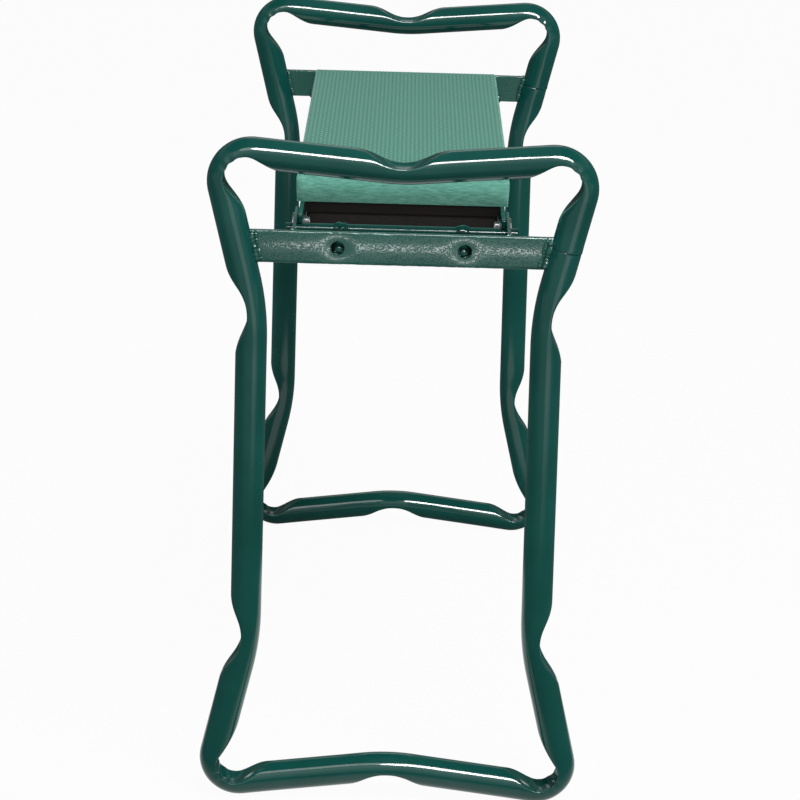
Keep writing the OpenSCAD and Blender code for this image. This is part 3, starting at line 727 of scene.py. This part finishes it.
def frame_welds(seed):
    """Beads down both ends of the crossbar, and round the hinge plates where they meet it."""
    shape = Shape()
    for i, side in enumerate((-1, 1)):
        for j, (face, out, lean, size) in enumerate(BAR_BEADS):
            y = face * (BAR_HALF_DEPTH + out)
            path = [(side * (leg_side_x(y, z + BAR_Z - PIVOT_Z) - lean), FRAME_Y + y, BAR_Z + z)
                    for z in np.linspace(-BAR_HALF_HEIGHT + 0.8, BAR_HALF_HEIGHT - 0.6, 20)]
            run = bead(path, size, seed + 3 * i + j)
            shape.add(run.points, run.faces)
    back = FRAME_Y + BAR_HALF_DEPTH + 0.4
    x0, x1 = plate_low[0] - PLATE_BEAD_OUT, plate_high[0] + PLATE_BEAD_OUT
    up_and_down = np.linspace(plate_low[2] + 0.5, plate_high[2] - 0.4, 12)
    for i, side in enumerate((-1, 1)):
        path = [(side * x1, back, z) for z in up_and_down]
        path += [(side * x, back, plate_high[2] + 0.2) for x in np.linspace(x1, x0, 4)]
        path += [(side * x0, back, z) for z in up_and_down[::-1]]
        run = bead(path, PLATE_BEAD, seed + 10 + i)
        shape.add(run.points, run.faces)
    return shape


# Hinge plates, rails and lock

PLATE_EDGE, PLATE_GAP, LIP_R = 0.35, 0.05, 1.2
BORE_SLIP, RAIL_BORE_SLIP = 0.08, 0.05
ROD_CHAMFER = 0.75
# Round end of a lock pin: distance from its tip, and radius there
PIN_DOME = [(0.0, 0.05), (0.06, 0.8), (0.25, 1.5), (0.6, 2.1), (1.0, 2.38), (1.5, PIN_R)]
COLLAR_HALF, COLLAR_SWELL, COLLAR_SINK, COLLAR_SIDES, COLLAR_STEPS = 5.0, 1.5, 0.15, 40, 16
SPRING_WIRE_R, SPRING_TURNS, TURN_STEPS, CLOSED_PITCH, SPRING_SLIP = 0.6, 10, 32, 1.7, 0.9
# Length by which a spring stops short, for the weld collar
WELD_ROOM = 2.4


def hinge_plate(side):
    """Plate from the crossbar in to its pivot, with a slot for the lock rod."""
    half = (plate_high[2] - plate_low[2]) / 2
    welded = plate_low[1] + PLATE_GAP
    outline = arc((PIVOT_Y, PIVOT_Z), half, -90, 90, 32)
    outline += [(welded, PIVOT_Z + half), (welded, PIVOT_Z - half)]
    slot = arc((ROD_Y, PIVOT_Z), ROD_R + SLIP, -90, 90, 16)
    slot += arc((ROD_Y - LOCK_TRAVEL, PIVOT_Z), ROD_R + SLIP, 90, 270, 16)
    bore = circle((PIVOT_Y, PIVOT_Z), PIVOT_R + BORE_SLIP)
    return at_side(flat_bar([outline, slot, bore], plate_low[0], plate_high[0], PLATE_EDGE), side)


def side_rail(side):
    """Flat bar on edge. Each end is round about its pivot and has a lip over the lock rod."""
    nose = PIVOT_Y - ROD_Y - ROD_R - SLIP
    lip = PIVOT_Z + ROD_R + SLIP
    lower = 180 + math.degrees(math.asin((PIVOT_Z - rail_low[2]) / nose))
    upper = 180 - math.degrees(math.asin((lip - PIVOT_Z) / nose))
    tip = rail_low[1] + LIP_R
    front = arc((PIVOT_Y, PIVOT_Z), nose, lower, upper, 20)
    front += arc((tip, lip + LIP_R), LIP_R, 270, 180, 5) + arc((tip, rail_high[2] - LIP_R), LIP_R, 180, 90, 5)
    outline = front + [(-y, z) for y, z in reversed(front)]
    holes = [circle((end * PIVOT_Y, PIVOT_Z), PIVOT_R + RAIL_BORE_SLIP) for end in (1, -1)]
    return at_side(flat_bar([outline, *holes], rail_low[0], rail_high[0], PLATE_EDGE), side)


def lock_rod():
    c = ROD_CHAMFER
    profile = [(-ROD_HALF, ROD_R - c), (-ROD_HALF + c / 3, ROD_R - 0.4 * c), (-ROD_HALF + c, ROD_R)]
    profile += [(x, ROD_R) for x in np.linspace(-ROD_HALF + 2, ROD_HALF - 2, 24)]
    profile += [(-a, r) for a, r in reversed(profile[:3])]
    return lathe(profile, 0, (0, ROD_Y, PIVOT_Z))


def lock_pin(side):
    length = ROD_Y - pin_low[1]
    profile = PIN_DOME + [(a, PIN_R) for a in np.linspace(3, length, 14)]
    return lathe(profile, 1, (side * PIN_X, pin_low[1], PIN_Z))


def lock_welds(seed):
    """Lumpy collar of weld round the rod at each pin."""
    rng = random.Random(seed)
    shape = Shape()
    for side in (-1, 1):
        lumps = [(rng.uniform(1, 3), rng.uniform(0, 6), rng.uniform(0.06, 0.14)) for _ in range(4)]
        points = []
        for i in range(COLLAR_STEPS + 1):
            u = 2 * i / COLLAR_STEPS - 1
            swell = COLLAR_SWELL * (1 - abs(u) ** 2.5)
            for k in range(COLLAR_SIDES):
                a = 2 * math.pi * k / COLLAR_SIDES
                lump = sum(size * math.sin(waves * (a + 2 * u) + phase) for waves, phase, size in lumps)
                r = ROD_R - COLLAR_SINK + swell * (1 + lump)
                x = side * PIN_X + COLLAR_HALF * u * (1 + 0.12 * math.sin(a + lumps[0][1]))
                points.append((x, ROD_Y + r * math.cos(a), PIVOT_Z + r * math.sin(a)))
        rings = COLLAR_STEPS + 1
        shape.add(points, ring_faces(rings, COLLAR_SIDES) + end_faces(rings, COLLAR_SIDES))
    return shape


def lock_springs():
    """Springs wound wide at the crossbar and close round the pin at the weld, a closed turn at each end."""
    low, high = box_mm("front_lock_springs")
    wire, turns, closed = SPRING_WIRE_R, SPRING_TURNS, CLOSED_PITCH
    wide, close = WINDOW_R + SPRING_SLIP, PIN_R + SPRING_SLIP + wire
    start, stop = low[1] + wire, high[1] - wire - WELD_ROOM
    opened = (stop - start - 2 * closed) / (turns - 2)
    shape = Shape()
    for side in (-1, 1):
        path = []
        for i in range(turns * TURN_STEPS + 1):
            t, a = i / TURN_STEPS, 2 * math.pi * i / TURN_STEPS
            open_turns = max(0, min(t - 1, turns - 2))
            y = start + closed * min(t, 1) + opened * open_turns + closed * max(0, t - turns + 1)
            r = wide + (close - wide) * open_turns / (turns - 2)
            path.append((side * PIN_X + r * math.cos(a), y, PIN_Z + r * math.sin(a)))
        run = sweep(path, [wire] * len(path))
        shape.add(run.points, run.faces)
    return shape


# Fasteners

GROOVE_R, GROOVE, TAIL, TAIL_CHAMFER = 2.0, 0.8, 4.0, 0.6
# Share of a pin head's height that is its straight side
HEAD_SIDE = 0.45
CLIP, CLIP_EDGE, CLIP_SLIP = 0.7, 0.12, 0.05
# Half width, half length and depth of the cross recess in a screw head, and where its floor would come out
RECESS_HALF, RECESS_REACH, RECESS_DEPTH, RECESS_OUT = 0.55, 2.3, 1.1, 2.6


def pivots(piece):
    """A piece drawn outwards from x = 0, at all four pivots."""
    shape = Shape()
    for side in (-1, 1):
        for end in (-1, 1):
            shape.add_moved(piece, lambda p: (side * p[0], end * PIVOT_Y + p[1], PIVOT_Z + p[2]))
    return shape


def pivot_pins():
    """Pins with a low round head outside and a clip groove inside."""
    _, high = box_mm("pivot_pins")
    head = plate_high[0] + SLIP
    rise, head_r = high[0] - head, high[2] - PIVOT_Z
    inside = rail_low[0]
    groove = inside - GROOVE
    tail, c = groove - TAIL, TAIL_CHAMFER
    profile = [(tail, PIVOT_R - c), (tail + 0.15, PIVOT_R - 0.35), (tail + c, PIVOT_R)]
    profile += [(groove - 0.1, PIVOT_R), (groove, PIVOT_R - 0.1), (groove, GROOVE_R)]
    profile += [(inside, GROOVE_R), (inside, PIVOT_R), (head, PIVOT_R)]
    profile += [(head, head_r - 0.15), (head + 0.15, head_r)]
    for f in np.linspace(0, 1, 12):
        top = head + HEAD_SIDE * rise + (1 - HEAD_SIDE) * rise * math.sin(f * math.pi / 2)
        profile.append((top, head_r * math.cos(f * math.pi / 2) ** 0.6 if f < 1 else 0.05))
    return pivots(lathe(profile, 0, (0, 0, 0), 40))


def pivot_clips():
    """Open spring clips, drawn as the letter C."""
    low, high = box_mm("pivot_clips")
    outer = (high[2] - low[2]) / 2
    outline = arc((0, 0), outer, -70, 250, 48) + arc((0, 0), GROOVE_R + CLIP_SLIP, 235, -55, 40)
    face = rail_low[0] - CLIP_SLIP
    return pivots(flat_bar([outline], face - CLIP, face, CLIP_EDGE))


def rail_screws():
    """Pan heads with a cross recess. Each head is a dome of fine rings, sunk where the driver goes."""
    low, high = box_mm("rail_screws")
    head_r = (high[2] - low[2]) / 2
    head_h = high[0] - rail_high[0]
    z = (low[2] + high[2]) / 2
    sides, radii = 64, np.linspace(0.02, 1, 22)
    points = []
    for f in radii:
        for k in range(sides):
            a = 2 * math.pi * k / sides
            y, w = head_r * f * math.cos(a), head_r * f * math.sin(a)
            top = head_h * (1 - 0.55 * f ** 4)
            across, along = min(abs(y), abs(w)), max(abs(y), abs(w))
            if across < RECESS_HALF and along < RECESS_REACH:
                top -= RECESS_DEPTH * (1 - along / RECESS_OUT)
            points.append((top, y, w))
    points += [(0, y, w) for _, y, w in points[-sides:]]
    rings = len(radii) + 1
    head = Shape().add(points, ring_faces(rings, sides) + end_faces(rings, sides))
    shape = Shape()
    pitch = (high[1] - low[1]) / 2 - head_r
    for side in (-1, 1):
        for i in (-1, 0, 1):
            shape.add_moved(head, lambda p: (side * (rail_high[0] + p[0]), i * pitch + p[1], z + p[2]))
    return shape


# Foam pads and board

RIB_DEPTH, PAD_CORNER = 0.22, 5.0
SIDE_TUCK, END_TUCK, TUCK_STEPS = 0.8, 2.0, 8
RIB_STEPS, LENGTH_STEPS = 8, 48
# A face counts as cut where the pad has dropped by more than this share of its edge's radius
CUT_FROM = 0.04
BOARD_EDGE, BOARD_ACROSS, BOARD_ALONG = 0.6, 12, 24


def pad_profile(half, height, radius, flat_points, steps, tuck):
    """(distance, drop below the top) across a pad, from foot to foot. The feet are tucked in."""
    left = []
    for i in range(TUCK_STEPS):
        f = i / TUCK_STEPS
        left.append((-half + tuck * (1 - f) ** 2, height - (height - radius) * f))
    for a in np.linspace(0, math.pi / 2, steps + 1):
        left.append((-half + radius - radius * math.cos(a), radius - radius * math.sin(a)))
    return left + [(p, 0.0) for p in flat_points] + [(-p, d) for p, d in reversed(left)]


def foam_pad(low, high, r_end, r_side, upside_down):
    """Foam slab with rounded edges, ribs along its broad face and softened corners."""
    half_x, half_y, height = (high[0] - low[0]) / 2, (high[1] - low[1]) / 2, high[2] - low[2]
    ribs = int((half_x - r_side - 1) / RIB_PITCH)
    fine = [RIB_PITCH * i / RIB_STEPS for i in range(-RIB_STEPS * ribs, RIB_STEPS * ribs + 1)]
    flat_y = list(np.linspace(-half_y + r_end + 2, half_y - r_end - 2, LENGTH_STEPS))
    across = pad_profile(half_x, height, r_side, fine, 5, SIDE_TUCK)
    along = pad_profile(half_y, height, r_end, flat_y, 12, END_TUCK)
    inner_x, inner_y = half_x - PAD_CORNER, half_y - PAD_CORNER
    points = []
    for y, drop_y in along:
        for x, drop_x in across:
            px, py = x, y
            u, v = (abs(x) - inner_x) / PAD_CORNER, (abs(y) - inner_y) / PAD_CORNER
            if u > 0 and v > 0:
                px = math.copysign(inner_x + PAD_CORNER * u * math.sqrt(1 - v * v / 2), x)
                py = math.copysign(inner_y + PAD_CORNER * v * math.sqrt(1 - u * u / 2), y)
            top = height - max(drop_x, drop_y)
            if drop_x == 0:
                fade = min(1.0, max(0.0, 1 - drop_y / (0.5 * r_end)))
                edge = min(1.0, max(0.0, (half_x - r_side - abs(x)) / RIB_PITCH))
                top -= RIB_DEPTH * (1 - math.cos(2 * math.pi * x / RIB_PITCH)) / 2 * fade * edge
            points.append((px, py, high[2] - top if upside_down else low[2] + top))
    rows, columns = len(along), len(across)
    faces, slots = [], []
    for j in range(rows - 1):
        end_cut = min(along[j][1], along[j + 1][1]) > CUT_FROM * r_end
        for i in range(columns - 1):
            side_cut = min(across[i][1], across[i + 1][1]) > CUT_FROM * r_side
            a = j * columns + i
            faces.append((a, a + 1, a + columns + 1, a + columns))
            slots.append(1 if end_cut or side_cut else 0)
    rim = list(range(columns)) + [j * columns + columns - 1 for j in range(1, rows)]
    rim += [(rows - 1) * columns + i for i in range(columns - 2, -1, -1)]
    rim += [j * columns for j in range(rows - 2, 0, -1)]
    return Shape().add(points, faces + [tuple(rim)], slots + [1])


def board():
    """Board with its edges broken."""
    low, high = box_mm("seat_board")
    c = BOARD_EDGE
    levels = ((low[2], c), (low[2] + c, 0), ((low[2] + high[2]) / 2, 0), (high[2] - c, 0), (high[2], c))
    points = []
    for z, inset in levels:
        x, y = high[0] - inset, high[1] - inset
        for turn in (1, -1):
            points += [(turn * (-x + 2 * x * i / BOARD_ACROSS), -turn * y, z) for i in range(BOARD_ACROSS)]
            points += [(turn * x, turn * (-y + 2 * y * i / BOARD_ALONG), z) for i in range(BOARD_ALONG)]
    sides = 2 * (BOARD_ACROSS + BOARD_ALONG)
    return Shape().add(points, ring_faces(len(levels), sides) + end_faces(len(levels), sides))


# Pieces of the seat

seat_pad = make("seat_pad_foam", foam_pad(*box_mm("seat_pad"), 10, 3, False), [green_foam, green_foam_cut_and_lit],
                "seat", "green_foam", ["seat_pad"], crease=50)
kneeling_pad = make("kneeling_pad_foam", foam_pad(*box_mm("kneeling_pad"), 3, 3, True),
                    [black_foam, black_foam_cut], "seat", "black_foam", ["kneeling_pad"], crease=50)
make("seat_board_panel", board(), [board_black], "seat", "black_board", ["seat_board"])
for hand in ("left", "right"):
    make(f"{hand}_rail_bar", side_rail(hand), [tube_coat], "seat", "green_paint", [f"{hand}_side_rail"])
make("rail_screw_heads", rail_screws(), [zinc], "seat", "zinc", ["rail_screws"])
make("pivot_pin_set", pivot_pins(), [zinc], "seat", "zinc", ["pivot_pins"])
make("pivot_clip_set", pivot_clips(), [zinc], "seat", "zinc", ["pivot_clips"])

# Pieces of the two end frames and their lock bars

crossbars = {}
for number, end in enumerate(("front", "rear")):
    body, lock = f"{end}_frame", f"{end}_lock_bar"
    make(f"{end}_tube_loop", at_end(frame_tube(), end), [tube_coat], body, "green_paint",
         [f"{end}_frame_tube"], crease=40)
    crossbars[end] = make(f"{end}_crossbar_bar", at_end(crossbar(), end), [bar_coat_painted_lighter], body, "green_paint",
                          [f"{end}_crossbar"], crease=40)
    make(f"{end}_weld_beads", at_end(frame_welds(7 + 40 * number), end), [bar_coat_painted_lighter], body, "green_paint")
    for hand in ("left", "right"):
        make(f"{end}_{hand}_plate", at_end(hinge_plate(hand), end), [tube_coat], body, "green_paint",
             [f"{end}_{hand}_hinge_plate"])
    make(f"{end}_rod", at_end(lock_rod(), end), [tube_coat], lock, "green_paint", [f"{end}_lock_rod"])
    for hand, side in (("left", -1), ("right", 1)):
        make(f"{end}_{hand}_pin", at_end(lock_pin(side), end), [tube_coat], lock, "green_paint",
             [f"{end}_{hand}_lock_pin"])
    make(f"{end}_lock_welds", at_end(lock_welds(23 + 40 * number), end), [tube_coat], lock, "green_paint")
    springs = make(f"{end}_spring_pair", at_end(lock_springs(), end), [spring_wire], body, "spring_wire",
                   [f"{end}_lock_springs"])
    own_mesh(springs)
    sleeve = frame["nodes"][f"{end}_tube_sleeve"]
    sleeve.data.materials.clear()
    sleeve.data.materials.append(zinc)


# Studio, in metres: white floor and backdrop, a key light, and lamps that only the gloss of some pieces shows

SMOOTH = {"interpolation_type": "SMOOTHSTEP"}
FLOOR_HALF = 30.0
# Gloss shows the paper as white only in an ellipse under the seat, and a dim room beyond it
SHEET_HALF_X, SHEET_HALF_Y, SHEET_Y = 0.3, 0.26, -0.1
# The room gets lighter to the front, most of all in a sector to the right, set by X over Y and by Y
ROOM_FROM, ROOM_TO, ROOM_DARK, ROOM_LIGHT = -0.6, -1.5, 0.06, 0.4
SECTOR_INNER, SECTOR_OUTER, SECTOR_NEAR = (-0.08, -0.2), (-0.9, -0.55), (-0.7, -1.4)
# Brightness of the room in gloss by the height of a ray: in front of the seat, and behind it
FRONT_GLOW = ((0.0, 0.35), (0.3, 0.8), (0.6, 1.5), (0.72, 0.3), (0.85, 0.1))
REAR_GLOW = ((0.0, 0.3), (0.34, 0.25), (0.42, 1.0), (0.6, 1.0), (0.7, 0.15))


def soft_light(name, at, aim, size, power, gloss_of=None, shape="RECTANGLE"):
    """Soft light. With gloss_of, only the gloss of those pieces shows it; without, no gloss does."""
    data = bpy.data.lights.new(name, "AREA")
    data.shape, data.size, data.size_y = shape, *size
    data.energy = power
    light = bpy.data.objects.new(name, data)
    light.location = at
    light.rotation_euler = (Vector(aim) - Vector(at)).to_track_quat("-Z", "Y").to_euler()
    light.visible_camera = False
    light.visible_diffuse = gloss_of is None
    light.visible_glossy = gloss_of is not None
    if gloss_of:
        light.light_linking.receiver_collection = bpy.data.collections.new(f"{name}_receivers")
        for piece in gloss_of:
            light.light_linking.receiver_collection.objects.link(piece)
    bpy.context.scene.collection.objects.link(light)


def white_paper():
    """Seamless white paper: shows as plain white and keeps a part of the shadow, with a dim room in gloss."""
    material, tree, place = new_material("white_paper")
    rays = add_node(tree, "ShaderNodeLightPath").outputs
    shiny = add_node(tree, "ShaderNodeMath", {"operation": "MAXIMUM"},
                     {0: rays["Is Glossy Ray"], 1: rays["Is Transmission Ray"]})
    seen = add_node(tree, "ShaderNodeMath", {"operation": "MAXIMUM"}, {0: rays["Is Camera Ray"], 1: shiny})
    share = add_node(tree, "ShaderNodeMath", {"operation": "MULTIPLY", 1: 0.96}, {0: seen})
    paper = add_node(tree, "ShaderNodeBsdfDiffuse", {"Color": colour("#d2d2d2")})
    white = add_node(tree, "ShaderNodeEmission", {"Color": colour("#ffffff"), "Strength": 1.0})
    sheet = add_node(tree, "ShaderNodeMixShader", links={0: share, 1: paper, 2: white})
    scaled = add_node(tree, "ShaderNodeVectorMath", {
        "operation": "MULTIPLY_ADD",
        1: (1 / SHEET_HALF_X, 1 / SHEET_HALF_Y, 0), 2: (0, -SHEET_Y / SHEET_HALF_Y, 0),
    }, {0: place})
    reach = add_node(tree, "ShaderNodeVectorMath", {"operation": "LENGTH"}, {0: scaled}).outputs["Value"]
    beyond = add_node(tree, "ShaderNodeMapRange",
                      {**SMOOTH, "From Min": 0.76, "From Max": 1.13, "To Max": 0.95}, {"Value": reach})
    dark = add_node(tree, "ShaderNodeMath", {"operation": "MULTIPLY"}, {0: rays["Is Glossy Ray"], 1: beyond})
    split = add_node(tree, "ShaderNodeSeparateXYZ", links={"Vector": place}).outputs
    level = add_node(tree, "ShaderNodeMapRange", {
        **SMOOTH, "From Min": ROOM_FROM, "From Max": ROOM_TO, "To Min": ROOM_DARK, "To Max": ROOM_LIGHT,
    }, {"Value": split["Y"]})
    turn = add_node(tree, "ShaderNodeMath", {"operation": "DIVIDE"}, {0: split["X"], 1: split["Y"]})
    inner, outer, near = (
        add_node(tree, "ShaderNodeMapRange", {**SMOOTH, "From Min": span[0], "From Max": span[1]},
                 {"Value": value})
        for span, value in ((SECTOR_INNER, turn), (SECTOR_OUTER, turn), (SECTOR_NEAR, split["Y"]))
    )
    sector = add_node(tree, "ShaderNodeMath", {"operation": "MULTIPLY"}, {0: inner, 1: outer})
    lit = add_node(tree, "ShaderNodeMath", {"operation": "MULTIPLY_ADD"}, {0: sector, 1: near, 2: level})
    room = add_node(tree, "ShaderNodeEmission", {"Color": colour("#ffffff")}, {"Strength": lit})
    shown = add_node(tree, "ShaderNodeMixShader", links={0: dark, 1: sheet, 2: room})
    add_node(tree, "ShaderNodeOutputMaterial", links={"Surface": shown})
    return material


def add_floor():
    h = FLOOR_HALF
    mesh = bpy.data.meshes.new("floor")
    mesh.from_pydata([(-h, -h, 0), (h, -h, 0), (h, h, 0), (-h, h, 0)], [], [(0, 1, 2, 3)])
    mesh.materials.append(white_paper())
    floor = bpy.data.objects.new("floor", mesh)
    bpy.context.scene.collection.objects.link(floor)


def add_backdrop():
    """World that shows as plain white, gives a soft fill, and has a room of its own for gloss."""
    world = bpy.data.worlds.new("studio")
    world.use_nodes = True
    tree = world.node_tree
    tree.nodes.clear()
    ray = add_node(tree, "ShaderNodeTexCoord").outputs["Generated"]
    split = add_node(tree, "ShaderNodeSeparateXYZ", links={"Vector": ray}).outputs
    # The fill is weaker from above, and weakest from the front
    dimming = add_node(tree, "ShaderNodeMapRange", {
        **SMOOTH, "From Min": 0.2, "From Max": 0.6, "To Min": 1.0, "To Max": 0.3,
    }, {"Value": split["Z"]})
    rear = add_node(tree, "ShaderNodeMapRange", {**SMOOTH, "From Min": -0.9, "From Max": -0.3},
                    {"Value": split["Y"]})
    less_in_front = add_node(tree, "ShaderNodeMapRange", {"To Min": 0.15, "To Max": 1.0}, {"Value": rear})
    fill = add_node(tree, "ShaderNodeMath", {"operation": "MULTIPLY"}, {0: dimming, 1: less_in_front})
    # In gloss the room behind is bright only straight ahead, and dims to both sides
    front_glow, rear_glow = (
        add_node(tree, "ShaderNodeValToRGB", links={"Fac": split["Z"]},
                 stops=[(height, (level, level, level, 1)) for height, level in glow])
        for glow in (FRONT_GLOW, REAR_GLOW)
    )
    aside = add_node(tree, "ShaderNodeMath", {"operation": "ABSOLUTE"}, {0: split["X"]})
    straight = add_node(tree, "ShaderNodeMapRange", {
        **SMOOTH, "From Min": 0.09, "From Max": 0.2, "To Min": 1.0, "To Max": 0.25,
    }, {"Value": aside})
    rear_band = add_node(tree, "ShaderNodeMath", {"operation": "MULTIPLY"}, {0: rear_glow, 1: straight})
    shine = add_node(tree, "ShaderNodeMix", links={0: rear, 2: front_glow, 3: rear_band})
    rays = add_node(tree, "ShaderNodeLightPath").outputs
    level = add_node(tree, "ShaderNodeMix", links={0: rays["Is Glossy Ray"], 2: fill, 3: shine})
    strength = add_node(tree, "ShaderNodeMath", {"operation": "MAXIMUM"},
                        {0: level, 1: rays["Is Camera Ray"]})
    sky = add_node(tree, "ShaderNodeBackground", {"Color": colour("#ffffff")}, {"Strength": strength})
    add_node(tree, "ShaderNodeOutputWorld", links={"Surface": sky})
    bpy.context.scene.world = world


def add_lamps():
    """Key light, two softboxes for the paint, three lamps for the zinc and a strip for the front bar."""
    soft_light("key", (0.7, -1.5, 2.6), (0, -0.1, 0.4), (1.2, 0.75), 48)
    soft_light("softbox", (0.5, -1.85, 2.03), (0.28, -0.29, 0.45), (1.35, 0.68), 93, painted, "ELLIPSE")
    soft_light("softbox_rim", (-0.45, -1.85, 2.03), (-0.45, -0.29, 0.45), (1.0, 0.68), 7, painted, "ELLIPSE")
    soft_light("plating", (0.22, -1.85, 2.03), (0, -0.29, 0.45), (1.6, 0.62), 36, plated)
    soft_light("strip", (0.05, -1.8, 0.05), (0, -0.29, 0.41), (0.4, 0.12), 1.3, [crossbars["front"]])
    for side in (-1, 1):
        soft_light(f"plating_{side}", (1.3 * side, -0.8, 0.3), (0.08 * side, -0.22, 0.41), (0.8, 0.8), 9,
                   plated)


add_floor()
add_backdrop()
add_lamps()
bpy.context.scene.view_settings.view_transform = "Standard"
